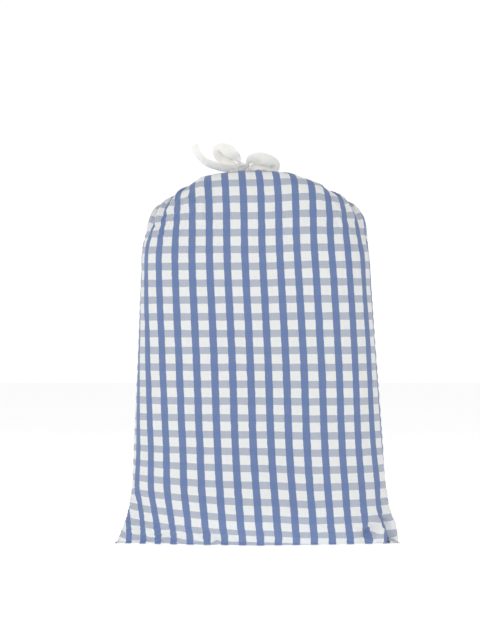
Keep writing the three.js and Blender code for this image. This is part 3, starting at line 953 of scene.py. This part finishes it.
def knot():
    """The tape's middle wrapped round the loops, over a firm core."""
    wrap = []
    for t in np.linspace(0, 1, 17):
        turn = 2 * math.pi * t * 1.06 - 2.2
        wrap.append(KNOT + np.array([3.0 * (t - 0.5), 6.4 * math.cos(turn), 7.4 * math.sin(turn)]))
    band, _, _ = tape("knot_band", wrap, [(1, 0, 0.25), (1, 0, -0.2)], seed=3, width=11.5,
                      thickness=2.2, crumple=0.9, curl=2.8)
    cross = []
    for t in np.linspace(0, 1, 13):
        turn = math.pi * (1.15 * t - 0.05)
        cross.append(KNOT + np.array([8.5 * math.cos(turn), -2.2 - 2.6 * math.sin(turn),
                                      2.5 - 8 * t]))
    over, _, _ = tape("knot_over", cross, [(0.1, 0, 1), (0.2, 0, 1)], seed=9, width=9.5,
                      thickness=2.0, crumple=0.8, curl=1.6)
    core = ball("knot_core", KNOT, (8.2, 5.2, 6.4), 0.7, 6)
    paint(core, TAPE)
    whole = joined("knot_tape", [band, over, core])
    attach(whole, "neck")
    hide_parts("bow_knot")


def ball(name, middle, sizes, rough, seed):
    """A lumpy ellipsoid."""
    rows, columns = 20, 32
    points, uvs = [], []
    for r in range(rows + 1):
        down = math.pi * r / rows
        for c in range(columns):
            turn = 2 * math.pi * c / columns
            way = np.array([math.sin(down) * math.cos(turn), math.sin(down) * math.sin(turn),
                            math.cos(down)])
            bumps = float(soft_noise(way[0] * 9, way[2] * 9 + way[1] * 5, seed, 9))
            lump = 1 + 0.08 * rough * bumps
            points.append(middle + way * np.array(sizes) * lump)
            uvs.append((sizes[0] * turn, sizes[2] * down))
    faces = []
    for r in range(rows):
        for c in range(columns):
            d = (c + 1) % columns
            faces.append((r * columns + c, (r + 1) * columns + c, (r + 1) * columns + d,
                          r * columns + d))
    return mesh_object(name, points, faces, uvs)


def around_neck(radius, height, degrees):
    """A place by its distance from the neck's middle, its height along it and its angle."""
    turn = math.radians(degrees)
    return (THROAT + RIGHTWARDS * radius * math.cos(turn) + NECK_BACK * radius * math.sin(turn)
            + NECK_UP * height)


def drawstring():
    """The tape inside the casing, out through both buttonholes to the knot."""
    to_knot = (KNOT - THROAT) @ NECK_UP
    left, right = FRONT - SLOT_ANGLE, FRONT + SLOT_ANGLE
    route = [around_neck(30.5, to_knot - 1, FRONT - 5), around_neck(26, 19, left),
             around_neck(20, CHANNEL_HEIGHT, left - 2)]
    for degrees in np.linspace(left - 20, right + 20 - 360, 28):
        route.append(around_neck(16.8, CHANNEL_HEIGHT, degrees))
    route += [around_neck(20, CHANNEL_HEIGHT, right + 2), around_neck(26, 19, right),
              around_neck(30.5, to_knot - 1, FRONT + 5)]
    made, _, length = tape("drawstring_tape", route, [tuple(NECK_UP)] * 2, seed=8, width=11,
                           thickness=1.5, crumple=0.3)
    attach(made, "neck")
    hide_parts("drawstring")
    print("drawstring inside the casing", round(length, 1), "mm")


knot()
drawstring()


# ---------------------------------------------------------------- inside the neck


def puckered_middle():
    """The cloth's gathered folds where they meet inside the mouth."""
    profile = [(5.0, 2.5), (8.6, 3.0), (9.4, 8.0), (9.6, 14.0), (9.8, 20.0), (9.2, 23.5),
               (7.4, 25.2), (5.2, 24.6), (3.2, 22.6), (1.4, 19.5)]
    columns = PLEATS * 6
    turn = np.linspace(0, 2 * math.pi, columns, endpoint=False)
    points, uvs = [], []
    for radius, height in profile:
        depth = 0.11 * radius
        fold = np.cos(turn * PLEATS / 2 + 0.2 * np.sin(3 * turn))
        for k in range(columns):
            across = RIGHTWARDS * math.cos(turn[k]) + NECK_BACK * math.sin(turn[k])
            points.append(THROAT + across * (radius + depth * fold[k]) + NECK_UP * height)
            uvs.append((FLAT_WIDTH * 2 * k / columns, 640 - height))
    faces = tube_faces(len(profile), columns, capped=True)
    made = mesh_object("puckered_mouth", points, faces, uvs)
    paint(made, CLOTH)
    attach(made, "neck")
    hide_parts("neck_gather")


def capsule(a, b, radius, sides=6):
    """Points and faces of one stitch from a to b, thinner at its ends."""
    along = unit(b - a)
    side = unit(np.cross(along, [0.31, 0.17, 0.93]))
    other = np.cross(along, side)
    points = []
    rings = ((0, 0.45), (0.2, 1), (0.8, 1), (1, 0.45))
    for t, share in rings:
        middle = a + (b - a) * t
        for k in range(sides):
            turn = 2 * math.pi * k / sides
            off = side * math.cos(turn) + other * math.sin(turn)
            points.append(middle + off * radius * share)
    return points, tube_faces(len(rings), sides, capped=True)


def stitches(name, pairs, radius):
    """One piece of many stitches, each between a pair of places."""
    points, faces = [], []
    for a, b in pairs:
        more, sides = capsule(np.array(a), np.array(b), radius)
        faces += [tuple(i + len(points) for i in face) for face in sides]
        points += more
    made = mesh_object(name, points, faces)
    paint(made, THREAD)
    return made


def buttonhole(name, node, side):
    """Close stitches round the slot where the tape leaves the casing."""
    middle = around_neck(22.6, CHANNEL_HEIGHT, FRONT + side * SLOT_ANGLE)
    outward = unit(middle - around_neck(0, CHANNEL_HEIGHT, 0))
    sideways = np.cross(NECK_UP, outward)
    pairs = []
    count = 40
    for k in range(count):
        turn = 2 * math.pi * k / count
        tall, broad = math.sin(turn), math.cos(turn)
        rim = NECK_UP * 5.4 * np.sign(tall) * abs(tall) ** 0.6 + sideways * 1.5 * broad
        way = unit(NECK_UP * tall * 0.7 + sideways * broad)
        base = middle + rim
        pairs.append((base - way * 0.3 - outward * 1.2, base + way * 1.5 + outward * 0.2))
    made = stitches(name, pairs, 0.3)
    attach(made, "neck")
    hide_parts(node)


def casing_seam():
    """The line of stitches that closes the casing, below the tape."""
    height = (wrapped - THROAT) @ NECK_UP
    on_outside = row_at < throat_at + 14
    candidates = np.nonzero(on_outside)[0]
    middle = height[candidates].mean(axis=1)
    row = candidates[int(np.argmin(np.abs(middle - STITCH_HEIGHT - 0.8)))]
    line = wrapped[row] + wrapped_normals[row] * 0.15
    pairs = [(line[k], line[k + 1]) for k in range(0, len(line) - 1, 2)]
    made = stitches("casing_stitches", pairs, 0.28)
    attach(made, "neck")


puckered_middle()
buttonhole("left_buttonhole_stitches", "left_buttonhole", -1)
buttonhole("right_buttonhole_stitches", "right_buttonhole", 1)
casing_seam()


# ---------------------------------------------------------------- filling and seams

for node in ("load_fold_front", "load_fold_middle", "load_fold_back"):
    paint(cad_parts[node], FILLING)
for node in ("left_side_seam", "right_side_seam", "bottom_seam"):
    paint(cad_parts[node], THREAD)


# ---------------------------------------------------------------- floor, light and camera


FLOOR_RADIUS = 9 / MM
FLOOR_DROP = 0.4  # keeps the paper clear of the base


def studio():
    """A wide round floor of pale paper."""
    turn = np.linspace(0, 2 * math.pi, 96, endpoint=False)
    points = [(FLOOR_RADIUS * math.cos(t), FLOOR_RADIUS * math.sin(t), -FLOOR_DROP) for t in turn]
    floor = mesh_object("studio_floor", points, [tuple(range(len(points)))])
    floor.data.materials.append(studio_paper())


def lamp(name, place, aim, size, power):
    data = bpy.data.lights.new(name, "AREA")
    data.shape = "RECTANGLE"
    data.size, data.size_y = size
    data.energy = power
    made = bpy.data.objects.new(name, data)
    bpy.context.collection.objects.link(made)
    made.location = place
    made.rotation_euler = (Vector(aim) - Vector(place)).to_track_quat("-Z", "Y").to_euler()


def light():
    middle = (0, 0, 0.28)
    lamp("key", (-1.6, -2.2, 2.0), middle, (1.6, 1.6), 19)
    lamp("fill", (2.0, -2.0, 1.2), middle, (1.8, 1.8), 5.5)
    lamp("top", (0, 0.1, 2.4), middle, (1.8, 1.4), 7.5)
    world = bpy.data.worlds.new("soft_room")
    world.use_nodes = True
    nodes, links = world.node_tree.nodes, world.node_tree.links
    direction = nodes.new("ShaderNodeTexCoord")
    split = nodes.new("ShaderNodeSeparateXYZ")
    links.new(direction.outputs["Generated"], split.inputs[0])
    fade = nodes.new("ShaderNodeMapRange")  # bright round the horizon, softer overhead
    for key, value in (("From Min", 0.12), ("From Max", 0.5), ("To Min", 1.05), ("To Max", 0.4)):
        fade.inputs[key].default_value = value
    links.new(split.outputs["Z"], fade.inputs["Value"])
    backdrop = nodes["Background"]
    backdrop.inputs["Color"].default_value = (1, 1, 1, 1)
    links.new(fade.outputs[0], backdrop.inputs["Strength"])
    bpy.context.scene.world = world
    bpy.context.scene.view_settings.view_transform = "Standard"


CAMERA_X, CAMERA_Z = -0.024, 0.3144
CAMERA_DISTANCE = 3.5
VIEW_HEIGHT = 0.9024  # how much of the scene the frame's height takes in at the sack
SENSOR_HEIGHT = 24


def camera():
    data = bpy.data.cameras.new("camera")
    data.sensor_fit = "VERTICAL"
    data.sensor_height = SENSOR_HEIGHT
    data.lens = SENSOR_HEIGHT * CAMERA_DISTANCE / VIEW_HEIGHT
    made = bpy.data.objects.new("camera", data)
    bpy.context.collection.objects.link(made)
    made.location = (CAMERA_X, -CAMERA_DISTANCE, CAMERA_Z)
    made.rotation_euler = (math.pi / 2, 0, 0)
    bpy.context.scene.camera = made


studio()
light()
camera()
